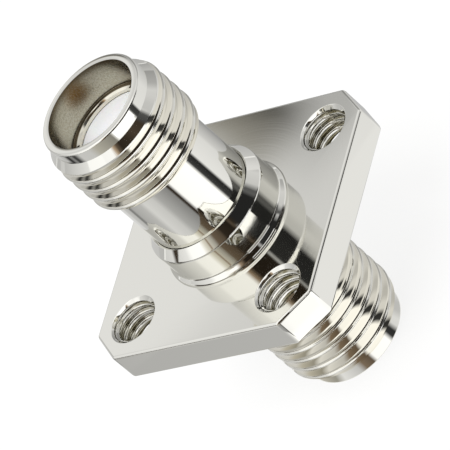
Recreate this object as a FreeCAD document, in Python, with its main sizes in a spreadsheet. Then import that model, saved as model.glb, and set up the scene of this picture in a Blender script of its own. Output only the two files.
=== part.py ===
import FreeCAD, Part
import math
import os

import Sketcher

# A coaxial adapter with a threaded jack at each end of a square mounting flange.
# All lengths are in millimetres. The axis of the jacks is Z, the rear face of the flange,
# which seats on a panel, is the plane Z = 0, and the jack with the neck points up.

doc = FreeCAD.newDocument("FlangeAdapter")

# The driving dimensions
sizes = doc.addObject("Spreadsheet::Sheet", "Sizes")
DIMENSIONS = [
    # the flange and its tapped screw holes
    ("flange_width", 12.7, "side of the square flange"),
    ("flange_thickness", 1.65, "thickness of the flange"),
    ("corner_cut", 1.45, "leg of each cut corner"),
    ("flange_bevel", 0.12, "bevel along the edges of the flange"),
    ("screw_edge", 2.03, "distance of the screw holes from the sides of the flange"),
    ("screw_bore", 2.05, "diameter of a screw hole inside its thread"),
    ("screw_mouth", 2.54, "diameter of a screw hole's bevelled front mouth"),
    # the boss in front of the flange
    ("foot_diameter", 6.80, "diameter of the foot ring round the boss"),
    ("foot_height", 0.34, "height of the foot ring where it meets the boss"),
    ("foot_side", 0.10, "height of the foot ring's straight side, below its slope"),
    ("boss_diameter", 6.35, "diameter of the boss"),
    ("boss_length", 2.20, "length of the boss from the front face of the flange"),
    ("boss_bevel_width", 0.40, "width of the bevel at the front of the boss"),
    ("boss_bevel_length", 0.52, "length of that bevel along the axis"),
    ("seam_width", 0.06, "width of the seam groove round the neck"),
    ("seam_depth", 0.12, "depth of the seam groove"),
    # the two threaded barrels
    ("front_reach", 11.45, "rim of the front jack above the panel face"),
    ("rear_reach", 7.88, "rim of the rear jack below the panel face"),
    ("thread_diameter", 6.30, "outer diameter of the threads"),
    ("thread_depth", 0.22, "depth of the threads"),
    ("thread_pitch", 0.7056, "pitch of the threads, 36 turns to 25.4 mm"),
    ("thread_crest", 0.09, "width of the flat crest"),
    ("lead_in_diameter", 5.42, "diameter of the plain end in front of each thread"),
    ("lead_in_length", 0.64, "length of that plain end"),
    ("lead_in_bevel", 0.10, "bevel of the rim"),
    ("front_thread_length", 3.24, "front thread, from its shoulder to the plain end"),
    ("front_thread_phase", 0.67, "first groove of the front thread, below its shoulder"),
    ("rear_thread_phase", 0.31, "first groove of the rear thread, above the rim"),
    ("neck_diameter", 5.34, "diameter of the plain neck"),
    ("register_diameter", 6.35, "diameter of the plain register behind the flange"),
    ("register_length", 1.80, "length of the register, which fills the panel's hole"),
    ("relief_length", 1.10, "length of the relief between the register and the rear thread"),
    ("shank_depth", 2.35, "depth to which the neck is pressed into the boss"),
    # the bores of the jacks
    ("socket_diameter", 4.70, "diameter of the mating bore"),
    ("socket_depth", 1.72, "depth of the mating bore"),
    # the insulators
    ("insulator_diameter", 4.10, "diameter of an insulator"),
    ("insulator_recess", 0.28, "face of an insulator below the foot of the mating bore"),
    ("head_diameter", 4.60, "diameter of an insulator's head"),
    ("head_length", 1.20, "length of an insulator's head"),
    # the centre contact
    ("contact_diameter", 1.27, "diameter of the contact"),
    ("contact_recess", 0.10, "end of the contact below the insulator's face"),
    ("collar_diameter", 1.90, "diameter of the contact's collar"),
    ("collar_length", 0.80, "length of the contact's collar"),
    ("pin_bore", 0.94, "diameter of the hole for the mating pin"),
    ("pin_bore_depth", 2.90, "depth of the hole for the mating pin"),
    ("slot_width", 0.20, "width of the slots between the contact's fingers"),
    ("slot_length", 2.30, "length of those slots"),
    # the gap between round faces that fit in each other
    ("fit_gap", 0.02, "radial gap between pieces that fit in each other"),
]
for row, (alias, value, note) in enumerate(DIMENSIONS, start=1):
    sizes.set(f"A{row}", alias)
    sizes.set(f"B{row}", str(value))
    sizes.set(f"C{row}", note)
    sizes.setAlias(f"B{row}", alias)
doc.recompute()

# Radii, and stations along the axis, that follow from the dimensions
FLANGE_HALF = "Sizes.flange_width / 2"
FLANGE_FRONT = "Sizes.flange_thickness"
CORNER_START = "(Sizes.flange_width / 2 - Sizes.corner_cut)"
SCREW_PLACE = "(Sizes.flange_width / 2 - Sizes.screw_edge)"
BOSS_RADIUS = "Sizes.boss_diameter / 2"
BOSS_FRONT = "(Sizes.flange_thickness + Sizes.boss_length)"
FOOT_RADIUS = "Sizes.foot_diameter / 2"
FOOT_TOP = "(Sizes.flange_thickness + Sizes.foot_height)"
THREAD_RADIUS = "Sizes.thread_diameter / 2"
NECK_RADIUS = "Sizes.neck_diameter / 2"
LEAD_RADIUS = "Sizes.lead_in_diameter / 2"
LEAD_RISE = "(Sizes.thread_diameter - Sizes.lead_in_diameter) / 2"
SOCKET_RADIUS = "Sizes.socket_diameter / 2"
INSULATOR_RADIUS = "Sizes.insulator_diameter / 2"
HEAD_RADIUS = "Sizes.head_diameter / 2"
CONTACT_RADIUS = "Sizes.contact_diameter / 2"
COLLAR_RADIUS = "Sizes.collar_diameter / 2"
JOINT_PLANE = "(Sizes.flange_thickness + Sizes.boss_length - Sizes.shank_depth)"
FRONT_RIM = "Sizes.front_reach"
REAR_RIM = "(-Sizes.rear_reach)"
FRONT_LEAD = "(Sizes.front_reach - Sizes.lead_in_length)"
REAR_LEAD = "(Sizes.lead_in_length - Sizes.rear_reach)"
RELIEF_FOOT = "(-Sizes.register_length - Sizes.relief_length)"
FRONT_SHOULDER = "(Sizes.front_reach - Sizes.lead_in_length - Sizes.front_thread_length)"
FRONT_SOCKET_FOOT = "(Sizes.front_reach - Sizes.socket_depth)"
REAR_SOCKET_FOOT = "(Sizes.socket_depth - Sizes.rear_reach)"
FRONT_FACE = "(Sizes.front_reach - Sizes.socket_depth - Sizes.insulator_recess)"
REAR_FACE = "(Sizes.socket_depth + Sizes.insulator_recess - Sizes.rear_reach)"
FRONT_TIP = FRONT_FACE + " - Sizes.contact_recess"
REAR_TIP = REAR_FACE + " + Sizes.contact_recess"
COLLAR_FOOT = JOINT_PLANE + " - Sizes.collar_length"


def number(expression):
    """Return the value that an expression of the sheet's cells has now."""
    return float(sizes.evalExpression(expression))


def piece(name):
    """Add an empty body under the name that its file gets."""
    body = doc.addObject("PartDesign::Body", name)
    body.Label = name
    return body


def origin_plane(body, role):
    """Find one of a body's own origin planes."""
    return next(item for item in body.Origin.OriginFeatures if item.Role == role)


def new_sketch(body, name, role):
    sketch = body.newObject("Sketcher::SketchObject", name)
    sketch.AttachmentSupport = [(origin_plane(body, role), "")]
    sketch.MapMode = "FlatFace"
    doc.recompute()
    return sketch


def hold(sketch, kind, geometry, point, name, expression):
    """Hold one coordinate of a point at an expression, measured from the sketch's origin."""
    constraint = Sketcher.Constraint(kind, -1, 1, geometry, point, number(expression))
    sketch.renameConstraint(sketch.addConstraint(constraint), name)
    sketch.setExpression("Constraints." + name, expression)


def add_outline(sketch, corners, tag=""):
    """Draw a closed outline through corners that are pairs of expressions."""
    first = sketch.GeometryCount
    places = [FreeCAD.Vector(number(across), number(along), 0) for across, along in corners]
    for start, end in zip(places, places[1:] + places[:1]):
        sketch.addGeometry(Part.LineSegment(start, end), False)
    for index, (across, along) in enumerate(corners):
        following = first + (index + 1) % len(corners)
        sketch.addConstraint(Sketcher.Constraint("Coincident", first + index, 2, following, 1))
        hold(sketch, "DistanceX", first + index, 1, f"across{tag}{index}", across)
        hold(sketch, "DistanceY", first + index, 1, f"along{tag}{index}", along)


def half_section(body, name, corners):
    """Draw an outline in the plane of X and Z, with the radius across and the axis upwards."""
    sketch = new_sketch(body, name, "XZ_Plane")
    add_outline(sketch, corners)
    doc.recompute()
    return sketch


def turn(body, name, kind, corners):
    """Revolve a half section round the axis, to add or to cut a turned form."""
    sketch = half_section(body, name + "Section", corners)
    feature = body.newObject("PartDesign::" + kind, name)
    feature.Profile = sketch
    feature.ReferenceAxis = (sketch, ["V_Axis"])
    feature.Angle = 360
    doc.recompute()
    return feature


def cut_thread(body, name, start, rise):
    """Cut a right-hand thread: one groove with sloping sides, swept up a helix."""
    root = f"({THREAD_RADIUS} - Sizes.thread_depth)"
    brim = f"({THREAD_RADIUS} + Sizes.fit_gap)"
    flank = "tan(30 deg)"
    mouth_half = "(Sizes.thread_pitch - Sizes.thread_crest) / 2"
    root_half = f"({mouth_half} - Sizes.thread_depth * {flank})"
    brim_half = f"({mouth_half} + Sizes.fit_gap * {flank})"
    sketch = half_section(body, name + "Section", [
        (root, f"{start} - {root_half}"),
        (brim, f"{start} - {brim_half}"),
        (brim, f"{start} + {brim_half}"),
        (root, f"{start} + {root_half}"),
    ])
    groove = body.newObject("PartDesign::SubtractiveHelix", name)
    groove.Profile = sketch
    groove.ReferenceAxis = (sketch, ["V_Axis"])
    groove.Mode = "pitch-height-angle"
    groove.setExpression("Pitch", "Sizes.thread_pitch")
    groove.setExpression("Height", rise)
    doc.recompute()
    return groove


def edges_where(shape, test):
    """Name the edges of a shape that pass a test."""
    return [f"Edge{index}" for index, edge in enumerate(shape.Edges, start=1) if test(edge)]


def bevel_edges(body, name, test, size):
    """Cut a bevel along the edges that pass a test on the body's last form."""
    base = body.Tip
    bevel = body.newObject("PartDesign::Chamfer", name)
    bevel.Base = (base, edges_where(base.Shape, test))
    bevel.setExpression("Size", size)
    doc.recompute()
    return bevel


def lies_at(edge, axis_value, tolerance=1e-4):
    """Tell whether a whole edge lies at one height along the axis."""
    box = edge.BoundBox
    return abs(box.ZMin - axis_value) < tolerance and abs(box.ZMax - axis_value) < tolerance


def is_screw_ring(edge, radius, height, tolerance=1e-4):
    """Tell whether an edge is the mouth of a screw hole at a height."""
    if not lies_at(edge, height) or not isinstance(edge.Curve, Part.Circle):
        return False
    away = math.hypot(edge.Curve.Center.x, edge.Curve.Center.y) > radius
    return away and abs(edge.Curve.Radius - radius) < tolerance


# Flange body: flange, boss and rear barrel, cut from one bar
def make_flange_body():
    body = piece("flange_body")

    # the square plate with cut corners, sketched on the panel face
    plate = new_sketch(body, "PlateOutline", "XY_Plane")
    corners = [
        (FLANGE_HALF, f"-{CORNER_START}"),
        (FLANGE_HALF, CORNER_START),
        (CORNER_START, FLANGE_HALF),
        (f"-{CORNER_START}", FLANGE_HALF),
        (f"-{FLANGE_HALF}", CORNER_START),
        (f"-{FLANGE_HALF}", f"-{CORNER_START}"),
        (f"-{CORNER_START}", f"-{FLANGE_HALF}"),
        (CORNER_START, f"-{FLANGE_HALF}"),
    ]
    add_outline(plate, corners)
    doc.recompute()
    pad = body.newObject("PartDesign::Pad", "Plate")
    pad.Profile = plate
    pad.setExpression("Length", "Sizes.flange_thickness")
    doc.recompute()
    bevel_edges(body, "PlateBevel", lambda edge: True, "Sizes.flange_bevel")

    # four tapped holes, plain at the inner diameter of their thread, with bevelled mouths
    holes = new_sketch(body, "ScrewHoles", "XY_Plane")
    for index, (side_x, side_y) in enumerate([("", ""), ("-", ""), ("-", "-"), ("", "-")]):
        across = f"{side_x}{SCREW_PLACE}"
        along = f"{side_y}{SCREW_PLACE}"
        centre = FreeCAD.Vector(number(across), number(along), 0)
        circle = Part.Circle(centre, FreeCAD.Vector(0, 0, 1), number("Sizes.screw_bore") / 2)
        geometry = holes.addGeometry(circle, False)
        hold(holes, "DistanceX", geometry, 3, f"holeAcross{index}", across)
        hold(holes, "DistanceY", geometry, 3, f"holeAlong{index}", along)
        width = Sketcher.Constraint("Diameter", geometry, number("Sizes.screw_bore"))
        holes.renameConstraint(holes.addConstraint(width), f"holeWidth{index}")
        holes.setExpression(f"Constraints.holeWidth{index}", "Sizes.screw_bore")
    doc.recompute()
    drill = body.newObject("PartDesign::Pocket", "ScrewBores")
    drill.Profile = holes
    drill.Type = "ThroughAll"
    drill.Midplane = True
    doc.recompute()
    bore_radius = number("Sizes.screw_bore / 2")
    flange_front = number(FLANGE_FRONT)
    bevel_edges(
        body, "ScrewMouths", lambda edge: is_screw_ring(edge, bore_radius, flange_front),
        "(Sizes.screw_mouth - Sizes.screw_bore) / 2",
    )

    # the boss, its sloping foot ring and its front bevel
    turn(body, "Boss", "Revolution", [
        ("0", FLANGE_FRONT),
        (FOOT_RADIUS, FLANGE_FRONT),
        (FOOT_RADIUS, f"{FLANGE_FRONT} + Sizes.foot_side"),
        (BOSS_RADIUS, FOOT_TOP),
        (BOSS_RADIUS, f"{BOSS_FRONT} - Sizes.boss_bevel_length"),
        (f"{BOSS_RADIUS} - Sizes.boss_bevel_width", BOSS_FRONT),
        ("0", BOSS_FRONT),
    ])

    # the rear barrel: register behind the flange, relief, thread, plain end and bevelled rim
    turn(body, "RearBarrel", "Revolution", [
        ("0", "0"),
        ("Sizes.register_diameter / 2", "0"),
        ("Sizes.register_diameter / 2", "-Sizes.register_length"),
        (NECK_RADIUS, "-Sizes.register_length"),
        (NECK_RADIUS, RELIEF_FOOT),
        (THREAD_RADIUS, RELIEF_FOOT),
        (THREAD_RADIUS, f"{REAR_LEAD} + {LEAD_RISE}"),
        (LEAD_RADIUS, REAR_LEAD),
        (LEAD_RADIUS, f"{REAR_RIM} + Sizes.lead_in_bevel"),
        (f"{LEAD_RADIUS} - Sizes.lead_in_bevel", REAR_RIM),
        ("0", REAR_RIM),
    ])
    cut_thread(
        body, "RearThread", f"({REAR_RIM} + Sizes.rear_thread_phase)",
        f"Sizes.rear_reach - Sizes.rear_thread_phase + {RELIEF_FOOT} + Sizes.relief_length / 2",
    )

    # the through bore, widened for the shank, the insulator's head and the mating plug
    shank_bore = f"({NECK_RADIUS} + Sizes.fit_gap)"
    head_bore = f"({HEAD_RADIUS} + Sizes.fit_gap)"
    insulator_bore = f"({INSULATOR_RADIUS} + Sizes.fit_gap)"
    turn(body, "Bore", "Groove", [
        ("0", BOSS_FRONT),
        (f"{shank_bore} + Sizes.seam_width", BOSS_FRONT),
        (shank_bore, f"{BOSS_FRONT} - Sizes.seam_depth"),
        (shank_bore, JOINT_PLANE),
        (head_bore, JOINT_PLANE),
        (head_bore, f"{JOINT_PLANE} - Sizes.head_length"),
        (insulator_bore, f"{JOINT_PLANE} - Sizes.head_length"),
        (insulator_bore, REAR_SOCKET_FOOT),
        (SOCKET_RADIUS, REAR_SOCKET_FOOT),
        (SOCKET_RADIUS, REAR_RIM),
        ("0", REAR_RIM),
    ])
    return body


# Front barrel: threaded jack on a plain neck, pressed into the boss
def make_front_barrel():
    body = piece("front_barrel")
    turn(body, "FrontBarrel", "Revolution", [
        ("0", JOINT_PLANE),
        (NECK_RADIUS, JOINT_PLANE),
        (NECK_RADIUS, FRONT_SHOULDER),
        (THREAD_RADIUS, FRONT_SHOULDER),
        (THREAD_RADIUS, f"{FRONT_LEAD} - {LEAD_RISE}"),
        (LEAD_RADIUS, FRONT_LEAD),
        (LEAD_RADIUS, f"{FRONT_RIM} - Sizes.lead_in_bevel"),
        (f"{LEAD_RADIUS} - Sizes.lead_in_bevel", FRONT_RIM),
        ("0", FRONT_RIM),
    ])
    cut_thread(
        body, "FrontThread", f"({FRONT_SHOULDER} - Sizes.front_thread_phase)",
        "Sizes.front_thread_phase + Sizes.front_thread_length + Sizes.lead_in_length / 2",
    )
    head_bore = f"({HEAD_RADIUS} + Sizes.fit_gap)"
    insulator_bore = f"({INSULATOR_RADIUS} + Sizes.fit_gap)"
    turn(body, "FrontBore", "Groove", [
        ("0", JOINT_PLANE),
        (head_bore, JOINT_PLANE),
        (head_bore, f"{JOINT_PLANE} + Sizes.head_length"),
        (insulator_bore, f"{JOINT_PLANE} + Sizes.head_length"),
        (insulator_bore, FRONT_SOCKET_FOOT),
        (SOCKET_RADIUS, FRONT_SOCKET_FOOT),
        (SOCKET_RADIUS, FRONT_RIM),
        ("0", FRONT_RIM),
    ])
    return body


# Insulators: two beads with heads that meet at the joint plane, bored for the contact
def make_front_insulator():
    body = piece("front_insulator")
    contact_bore = f"({CONTACT_RADIUS} + Sizes.fit_gap)"
    turn(body, "FrontBead", "Revolution", [
        (contact_bore, JOINT_PLANE),
        (HEAD_RADIUS, JOINT_PLANE),
        (HEAD_RADIUS, f"{JOINT_PLANE} + Sizes.head_length"),
        (INSULATOR_RADIUS, f"{JOINT_PLANE} + Sizes.head_length"),
        (INSULATOR_RADIUS, FRONT_FACE),
        (contact_bore, FRONT_FACE),
    ])
    return body


def make_rear_insulator():
    body = piece("rear_insulator")
    contact_bore = f"({CONTACT_RADIUS} + Sizes.fit_gap)"
    collar_bore = f"({COLLAR_RADIUS} + Sizes.fit_gap)"
    turn(body, "RearBead", "Revolution", [
        (collar_bore, JOINT_PLANE),
        (HEAD_RADIUS, JOINT_PLANE),
        (HEAD_RADIUS, f"{JOINT_PLANE} - Sizes.head_length"),
        (INSULATOR_RADIUS, f"{JOINT_PLANE} - Sizes.head_length"),
        (INSULATOR_RADIUS, REAR_FACE),
        (contact_bore, REAR_FACE),
        (contact_bore, COLLAR_FOOT),
        (collar_bore, COLLAR_FOOT),
    ])
    return body


# Centre contact: a pin with a collar seated in the rear insulator, drilled and slotted at both ends
def make_centre_contact():
    body = piece("centre_contact")
    turn(body, "ContactPin", "Revolution", [
        ("0", REAR_TIP),
        (CONTACT_RADIUS, REAR_TIP),
        (CONTACT_RADIUS, COLLAR_FOOT),
        (COLLAR_RADIUS, COLLAR_FOOT),
        (COLLAR_RADIUS, JOINT_PLANE),
        (CONTACT_RADIUS, JOINT_PLANE),
        (CONTACT_RADIUS, FRONT_TIP),
        ("0", FRONT_TIP),
    ])
    pin_radius = "Sizes.pin_bore / 2"
    for name, tip, inward in (("FrontPinBore", FRONT_TIP, "-"), ("RearPinBore", REAR_TIP, "+")):
        turn(body, name, "Groove", [
            ("0", tip),
            (pin_radius, tip),
            (pin_radius, f"{tip} {inward} Sizes.pin_bore_depth"),
            ("0", f"{tip} {inward} Sizes.pin_bore_depth"),
        ])

    # two crossed saw cuts at each end make four spring fingers
    half_width = "Sizes.slot_width / 2"
    for name, role in (("SlotsAcross", "XZ_Plane"), ("SlotsAlong", "YZ_Plane")):
        sketch = new_sketch(body, name + "Outline", role)
        for tag, tip, inward in (("Front", FRONT_TIP, "-"), ("Rear", REAR_TIP, "+")):
            foot = f"{tip} {inward} Sizes.slot_length"
            add_outline(sketch, [
                (f"-{half_width}", tip),
                (half_width, tip),
                (half_width, foot),
                (f"-{half_width}", foot),
            ], tag)
        doc.recompute()
        saw = body.newObject("PartDesign::Pocket", name)
        saw.Profile = sketch
        saw.Type = "ThroughAll"
        saw.Midplane = True
        doc.recompute()
    return body


PIECES = [
    make_flange_body(),
    make_front_barrel(),
    make_front_insulator(),
    make_rear_insulator(),
    make_centre_contact(),
]
doc.recompute()

# Nothing is written unless every object of the document came out sound
failed = [item.Name for item in doc.Objects if {"Invalid", "Error"} & set(item.State)]
for body in PIECES:
    if body.Shape.isNull() or not body.Shape.isValid() or len(body.Shape.Solids) != 1:
        failed.append(body.Label)
if failed:
    raise RuntimeError("these objects failed: " + ", ".join(failed))

os.makedirs("parts", exist_ok=True)
for body in PIECES:
    body.Shape.exportStep(f"parts/{body.Label}.step")
    print(f"{body.Label}: {body.Shape.Volume:.3f} mm3, {len(body.Shape.Faces)} faces")
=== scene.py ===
import math

import bmesh
import bpy
from mathutils import Matrix, Vector


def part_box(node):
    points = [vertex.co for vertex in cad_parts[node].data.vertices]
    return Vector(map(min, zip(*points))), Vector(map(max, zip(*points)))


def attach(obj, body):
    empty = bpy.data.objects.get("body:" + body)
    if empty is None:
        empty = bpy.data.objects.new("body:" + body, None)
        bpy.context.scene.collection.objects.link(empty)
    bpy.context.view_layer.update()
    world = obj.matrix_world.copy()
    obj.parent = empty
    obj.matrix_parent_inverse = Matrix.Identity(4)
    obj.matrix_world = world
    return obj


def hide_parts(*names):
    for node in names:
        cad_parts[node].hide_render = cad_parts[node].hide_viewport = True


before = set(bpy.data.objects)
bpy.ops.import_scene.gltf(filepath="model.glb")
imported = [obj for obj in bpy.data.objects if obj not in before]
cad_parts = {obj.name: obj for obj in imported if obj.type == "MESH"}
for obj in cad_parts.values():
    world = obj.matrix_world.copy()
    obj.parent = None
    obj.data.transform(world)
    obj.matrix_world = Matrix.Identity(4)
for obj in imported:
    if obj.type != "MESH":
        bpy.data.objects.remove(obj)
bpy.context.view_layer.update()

bl_info = {
    "name": "Flanged coaxial adapter",
    "version": (1, 0, 0),
    "blender": (4, 5, 0),
    "location": "3D Viewport > Sidebar > Adapter",
    "description": "Models the plated metal, the beads and the contact of a flanged coaxial adapter",
    "category": "Add Mesh",
}

# The whole frame at rest, and lengths in metres
MM = 0.001

# Heights and radii that follow from the frame
FLANGE_LOW, FLANGE_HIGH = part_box("flange_body")
BARREL_LOW, BARREL_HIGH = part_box("front_barrel")
FRONT_BEAD_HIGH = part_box("front_insulator")[1]
REAR_BEAD_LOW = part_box("rear_insulator")[0]
CONTACT_LOW, CONTACT_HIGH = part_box("centre_contact")
FLANGE_HALF = FLANGE_HIGH.x
REAR_RIM = FLANGE_LOW.z
FRONT_RIM = BARREL_HIGH.z
BOSS_FRONT = FLANGE_HIGH.z
JOINT_PLANE = BARREL_LOW.z
THREAD_RADIUS = BARREL_HIGH.x
FRONT_FACE = FRONT_BEAD_HIGH.z
REAR_FACE = REAR_BEAD_LOW.z
HEAD_RADIUS = FRONT_BEAD_HIGH.x

# Steps round a full turn of the turned forms, of the small tapped holes and of the contact
STEPS = 240
HOLE_STEPS = 64
CONTACT_STEPS = 96
# Points closer together than this are merged
MERGE = 0.001 * MM
# A corner with a setback under this gets 4 facets, and a rounder one 6
FINE_EASE = 0.04 * MM
# Half angles of the threads' flanks, on the barrels and in the screw holes
BARREL_FLANK = math.radians(37)
HOLE_FLANK = math.radians(30)

# The side of the front bore that the brown stain is on, in degrees from +X
STAIN_AZIMUTH = 143
# Roughness of the flange's milled face and of the bores' walls
FACE_ROUGHNESS = 0.055
BORE_ROUGHNESS = 0.27


def direction(azimuth, elevation):
    """The unit vector at an azimuth and elevation in degrees."""
    flat = math.cos(math.radians(elevation))
    return Vector((flat * math.cos(math.radians(azimuth)), flat * math.sin(math.radians(azimuth)),
                   math.sin(math.radians(elevation))))


def length(name, description, default):
    """A length that a user may change."""
    return bpy.props.FloatProperty(
        name=name, description=description, default=default, unit="LENGTH", precision=5)


def linear(colour):
    """Turn an sRGB hex colour into linear red, green and blue."""
    channels = [int(colour[index:index + 2], 16) / 255 for index in (1, 3, 5)]
    return [c / 12.92 if c <= 0.04045 else ((c + 0.055) / 1.055) ** 2.4 for c in channels]


def shade(name, description, colour):
    """A colour that a user may change, with its default written as sRGB hex."""
    return bpy.props.FloatVectorProperty(
        name=name, description=description, default=linear(colour), subtype="COLOR", size=3)


class AdapterSizes(bpy.types.PropertyGroup):
    flange_thickness: length("Flange thickness", "Thickness of the square flange", 1.65 * MM)
    corner_cut: length("Corner cut", "Leg of each cut corner of the flange", 1.45 * MM)
    flange_bevel: length("Flange bevel", "Rounding along the edges of the flange", 0.15 * MM)
    screw_edge: length("Screw edge", "Distance of the screw holes from the sides", 2.03 * MM)
    screw_radius: length("Screw bore radius", "Inner radius of the tapped holes", 1.025 * MM)
    screw_mouth: length("Screw mouth radius", "Radius of a hole's bevelled mouth", 1.27 * MM)
    screw_pitch: length("Screw pitch", "Pitch of the thread in the holes", 0.45 * MM)
    screw_depth: length("Screw thread depth", "Depth of the thread in the holes", 0.15 * MM)
    foot_radius: length("Foot radius", "Radius of the ring round the foot of the boss", 3.40 * MM)
    foot_side: length("Foot side", "Height of the foot ring's straight side", 0.10 * MM)
    foot_height: length("Foot height", "Height of the foot ring where it meets the boss", 0.34 * MM)
    boss_radius: length("Boss radius", "Radius of the boss and of the register", 3.175 * MM)
    boss_bevel_width: length("Boss bevel width", "Width of the bevel at the front", 0.40 * MM)
    boss_bevel_length: length("Boss bevel length", "Length of that bevel", 0.52 * MM)
    mouth_ease: length("Mouth ease", "Rounding round the mouths of the screw holes", 0.045 * MM)
    boss_ease: length("Boss ease", "Softening of the edge of the boss", 0.07 * MM)
    foot_ease: length("Foot ease", "Rounding of the ring round the foot of the boss", 0.10 * MM)
    seam_width: length("Seam width", "Width of the groove round the neck", 0.10 * MM)
    seam_depth: length("Seam depth", "Depth of the groove round the neck", 0.08 * MM)
    register_length: length("Register length", "Length of the plain register", 1.80 * MM)
    relief_length: length("Relief length", "Length of the relief behind the register", 1.10 * MM)
    neck_radius: length("Neck radius", "Radius of the plain neck and of the relief", 2.67 * MM)
    thread_depth: length("Thread depth", "Depth of the barrels' threads", 0.13 * MM)
    flank_depth: length("Flank depth", "Depth of the flanks of those threads", 0.075 * MM)
    thread_pitch: length("Thread pitch", "Pitch of the barrels' threads", 0.7056 * MM)
    thread_crest: length("Thread crest", "Width of the crest of the threads", 0.05 * MM)
    root_ease: length("Root ease", "Rounding at the feet of the flanks", 0.035 * MM)
    crest_ease: length("Crest ease", "Rounding of the crests of the threads", 0.012 * MM)
    lead_radius: length("Lead-in radius", "Radius of the plain end of a barrel", 2.71 * MM)
    lead_length: length("Lead-in length", "Length of the plain end of a barrel", 0.64 * MM)
    rim_bevel: length("Rim bevel", "Bevel round the outside of the rims", 0.06 * MM)
    rim_ease: length("Rim ease", "Rounding of the edges of the rims", 0.035 * MM)
    front_thread_length: length("Front thread", "Length from shoulder to plain end", 3.24 * MM)
    front_phase: length("Front phase", "First groove below the front shoulder", 0.67 * MM)
    rear_phase: length("Rear phase", "First groove above the rear rim", 0.31 * MM)
    socket_radius: length("Socket radius", "Radius of the mating bore", 2.35 * MM)
    socket_depth: length("Socket depth", "Depth of the mating bore", 1.72 * MM)
    stain_depth: length("Stain depth", "Depth of the stain below the rim", 0.60 * MM)
    floor_bevel: length("Floor bevel", "Bevel of the ledge at the foot of a bore", 0.10 * MM)
    bead_radius: length("Bead radius", "Radius of a bead in front of its head", 2.05 * MM)
    head_length: length("Head length", "Length of a bead's head", 1.20 * MM)
    contact_radius: length("Contact radius", "Radius of the contact", 0.635 * MM)
    collar_radius: length("Collar radius", "Radius of the contact's collar", 0.95 * MM)
    collar_length: length("Collar length", "Length of the contact's collar", 0.80 * MM)
    pin_radius: length("Pin hole radius", "Radius of the hole for the mating pin", 0.47 * MM)
    pin_depth: length("Pin hole depth", "Depth of the hole for the mating pin", 2.90 * MM)
    slot_width: length("Slot width", "Width of the slots between the fingers", 0.20 * MM)
    slot_length: length("Slot length", "Length of those slots", 2.30 * MM)
    fit_gap: length("Fit gap", "Radial gap between pieces that fit in each other", 0.02 * MM)
    ease: length("Edge ease", "Softening of the turned edges", 0.02 * MM)


class AdapterColours(bpy.types.PropertyGroup):
    nickel: shade("Nickel", "Bright nickel plate", "#ECEBE5")
    nickel_root: shade("Nickel in the roots", "Plate in the roots of the threads", "#E6E2D4")
    bore_light: shade("Bore, light", "Satin plate on the wall of a bore", "#C2BEAD")
    bore_dark: shade("Bore, dark", "The darker mottles of that wall", "#98917D")
    # a painted shade colour for the wall of a bore: darker near its rim, at its foot and round its
    # sides
    painted_bore_shade: shade("Tarnish", "Tarnish on the wall of a bore", "#6A5C48")
    # a painted shade colour for the roots of the tapped holes
    painted_hole_shade: shade("Oil", "Dried oil in the roots of the tapped holes", "#7A745B")
    stain: shade("Stain", "Brown stain in the front bore", "#8C6F48")
    bead: shade("Bead", "White fluoropolymer", "#EFF0F0")
    gilt: shade("Gilt", "Gold plate on the contact", "#E9C578")
    floor: shade("Floor", "Paper that the adapter stands on", "#F7F7F5")


def clear_selection():
    """Leave edit mode and deselect everything."""
    if bpy.context.object and bpy.context.object.mode != "OBJECT":
        bpy.ops.object.mode_set(mode="OBJECT")
    bpy.ops.object.select_all(action="DESELECT")


def choose(piece):
    """Make one object the only selected and active one."""
    clear_selection()
    piece.select_set(True)
    bpy.context.view_layer.objects.active = piece


def select_parts(piece, kind, test):
    """In edit mode, select the edges or faces whose corners pass a test."""
    bpy.ops.mesh.select_mode(type={"edges": "EDGE", "faces": "FACE"}[kind])
    bpy.ops.mesh.select_all(action="DESELECT")
    mesh = bmesh.from_edit_mesh(piece.data)
    for part in getattr(mesh, kind):
        if test([vertex.co for vertex in part.verts]):
            part.select_set(True)
    bmesh.update_edit_mesh(piece.data)


def eased(corners):
    """Replace each corner that has a third value, its setback, by a short curve."""
    points = []
    count = len(corners)
    for index, corner in enumerate(corners):
        here = Vector(corner[:2])
        if len(corner) < 3:
            points.append(here)
            continue
        before = Vector(corners[index - 1][:2]) - here
        after = Vector(corners[(index + 1) % count][:2]) - here
        start = here + before.normalized() * corner[2]
        end = here + after.normalized() * corner[2]
        parts = 4 if corner[2] < FINE_EASE else 6
        for part in range(parts + 1):
            share = part / parts
            points.append(start * (1 - share) ** 2 + here * 2 * share * (1 - share) + end * share ** 2)
    return points


def drawn_outline(name, corners, closed=True):
    """Draw an outline in the plane of X and Z, point after point, and leave it in edit mode."""
    points = eased(corners)
    clear_selection()
    start = points[0]
    bpy.ops.mesh.primitive_plane_add(size=MM, location=(start.x, 0, start.y))
    outline = bpy.context.object
    outline.name = outline.data.name = name
    bpy.ops.object.transform_apply(location=True)
    bpy.ops.object.mode_set(mode="EDIT")
    bpy.ops.mesh.select_mode(type="VERT")
    bpy.ops.mesh.select_all(action="SELECT")
    bpy.ops.mesh.merge(type="CENTER")
    for here, following in zip(points, points[1:]):
        step = following - here
        bpy.ops.mesh.extrude_region_move(TRANSFORM_OT_translate={"value": (step.x, 0, step.y)})
    if closed:
        mesh = bmesh.from_edit_mesh(outline.data)
        for vertex in mesh.verts:
            if len(vertex.link_edges) == 1:
                vertex.select_set(True)
        mesh.select_flush(True)
        bmesh.update_edit_mesh(outline.data)
        bpy.ops.mesh.edge_face_add()
    return outline


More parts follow.
